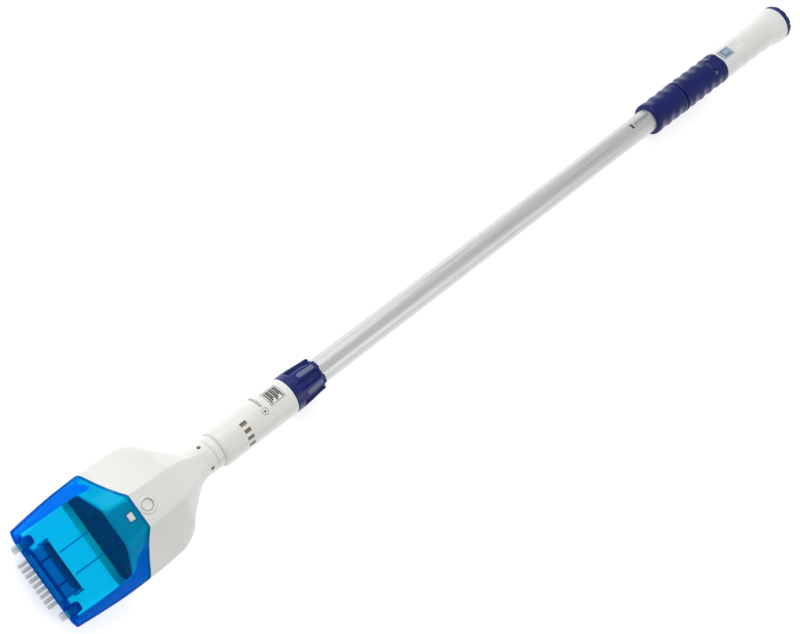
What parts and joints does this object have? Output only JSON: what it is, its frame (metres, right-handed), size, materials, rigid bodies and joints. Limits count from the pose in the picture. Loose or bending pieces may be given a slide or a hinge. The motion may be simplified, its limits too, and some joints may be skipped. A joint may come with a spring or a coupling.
{
  "type": "hand-held pool vacuum",
  "caption": "Pole-mounted hand-held pool vacuum with a clear blue debris cup, brushed suction head, motor barrel, clamp collar and gripped handle with a push switch.",
  "frame": {"origin": "centre of the whole vacuum's box on the surface that it lies on, level with the head's flat floor and the handle's flare", "axes": "+X along the pole from the suction head's brush to the handle's end cap, +Y to the head's left side, +Z out of the head's top"},
  "size_m": [1.258, 0.1286, 0.062],
  "materials": {
    "clear_blue": "clear, strongly tinted blue, glossy",
    "navy_rubber": "satin moulded rubber",
    "black_rubber": "matt",
    "steel": "bright stainless",
    "bristle": "pale grey nylon",
    "wheel_grey": "pale grey, satin",
    "white": "satin white, moulded",
    "mesh": "fine dark woven nylon mesh",
    "dark_plastic": "matt black",
    "navy": "satin navy, moulded",
    "aluminium": "satin, drawn lengthways",
    "lead": "black cable sheath",
    "switch_blue": "satin, pale steel blue",
    "cell_wrap": "printed film sleeve",
    "brass": "plated"
  },
  "bodies": {
    "head": {"head_top_cover": "white", "head_bottom_cover": "white", "head_screws": "steel", "neck_screws": "steel", "filter_frame": "dark_plastic", "filter_screen": "mesh", "spring_bridge": "white", "motor_barrel": "white", "motor_mount": "dark_plastic", "shaft_seal": "black_rubber", "motor_can": "steel", "motor_screws": "steel", "motor_end_bell": "dark_plastic", "pole_socket": "dark_plastic", "pole_collet": "bristle", "release_spring": "steel"},
    "cup": {"debris_cup": "clear_blue", "intake_throat": "clear_blue", "flap_pin": "steel", "brush_bar": "clear_blue", "brush_tufts": "bristle", "wheel_axles": "steel"},
    "flap": {"intake_flap": "navy_rubber"},
    "wheel_left": {"wheel_left": "wheel_grey"},
    "wheel_right": {"wheel_right": "wheel_grey"},
    "button": {"release_button": "white", "latch_tongue": "white"},
    "rotor": {"impeller": "dark_plastic", "impeller_shaft": "steel"},
    "collar_seal": {"pole_seal": "black_rubber"},
    "collar": {"collar_nut": "navy"},
    "pole": {"pole_tube": "aluminium", "power_lead": "lead", "upper_grip": "navy_rubber", "handle_body": "white", "switch_frame": "switch_blue", "switch_module": "dark_plastic", "battery_holder": "dark_plastic", "battery_cells": "cell_wrap", "contact_spring": "steel", "contact_plate": "brass", "charge_socket": "dark_plastic"},
    "sleeve": {"lock_sleeve": "navy_rubber"},
    "switch": {"switch_button": "switch_blue"},
    "cap_ring": {"cap_seal": "black_rubber"},
    "cap": {"end_cap": "navy"}
  },
  "joints": [
    {"name": "cup_slide", "type": "slide", "parent": "head", "child": "cup", "axis": [-1, 0, 0], "range_m": [0, 0.12], "deforming": ["latch_tongue"]},
    {"name": "flap_swing", "type": "hinge", "parent": "cup", "child": "flap", "pos_m": [-0.5903, 0, 0.0274], "axis": [0, -1, 0], "range_deg": [0, 62]},
    {"name": "wheel_left_spin", "type": "hinge", "parent": "cup", "child": "wheel_left", "pos_m": [-0.61386, 0.04, 0.02418], "axis": [0, 1, 0], "continuous": true},
    {"name": "wheel_right_spin", "type": "hinge", "parent": "cup", "child": "wheel_right", "pos_m": [-0.61386, -0.04, 0.02418], "axis": [0, 1, 0], "continuous": true},
    {"name": "button_press", "type": "slide", "parent": "head", "child": "button", "axis": [0, 0, -1], "range_m": [0, 0.003], "stiffness_N_per_m": 900, "springref_m": -0.001, "deforming": ["release_spring"]},
    {"name": "impeller_spin", "type": "hinge", "parent": "head", "child": "rotor", "pos_m": [-0.3565, 0, 0.0242], "axis": [1, 0, 0], "continuous": true},
    {"name": "collar_travel", "type": "slide", "parent": "head", "child": "collar_seal", "axis": [1, 0, 0], "range_m": [0, 0.003]},
    {"name": "collar_turn", "type": "hinge", "parent": "collar_seal", "child": "collar", "pos_m": [-0.2645, 0, 0.0242], "axis": [1, 0, 0], "range_deg": [0, 360]},
    {"name": "pole_turn", "type": "hinge", "parent": "head", "child": "pole", "pos_m": [-0.2745, 0, 0.0242], "axis": [1, 0, 0], "range_deg": [-150, 210]},
    {"name": "sleeve_turn", "type": "hinge", "parent": "pole", "child": "sleeve", "pos_m": [0.3755, 0, 0.0242], "axis": [1, 0, 0], "range_deg": [0, 90]},
    {"name": "switch_press", "type": "slide", "parent": "pole", "child": "switch", "axis": [0, -0.5, -0.866], "range_m": [0, 0.0015], "stiffness_N_per_m": 1200, "springref_m": -0.0006},
    {"name": "cap_travel", "type": "slide", "parent": "pole", "child": "cap_ring", "axis": [1, 0, 0], "range_m": [0, 0.009]},
    {"name": "cap_turn", "type": "hinge", "parent": "cap_ring", "child": "cap", "pos_m": [0.6205, 0, 0.0242], "axis": [1, 0, 0], "range_deg": [0, 810]}
  ],
  "couplings": [
    {"joint": "collar_travel", "follows": "collar_turn", "m_per_rad": 0.00047746},
    {"joint": "cap_travel", "follows": "cap_turn", "m_per_rad": 0.00063662}
  ]
}
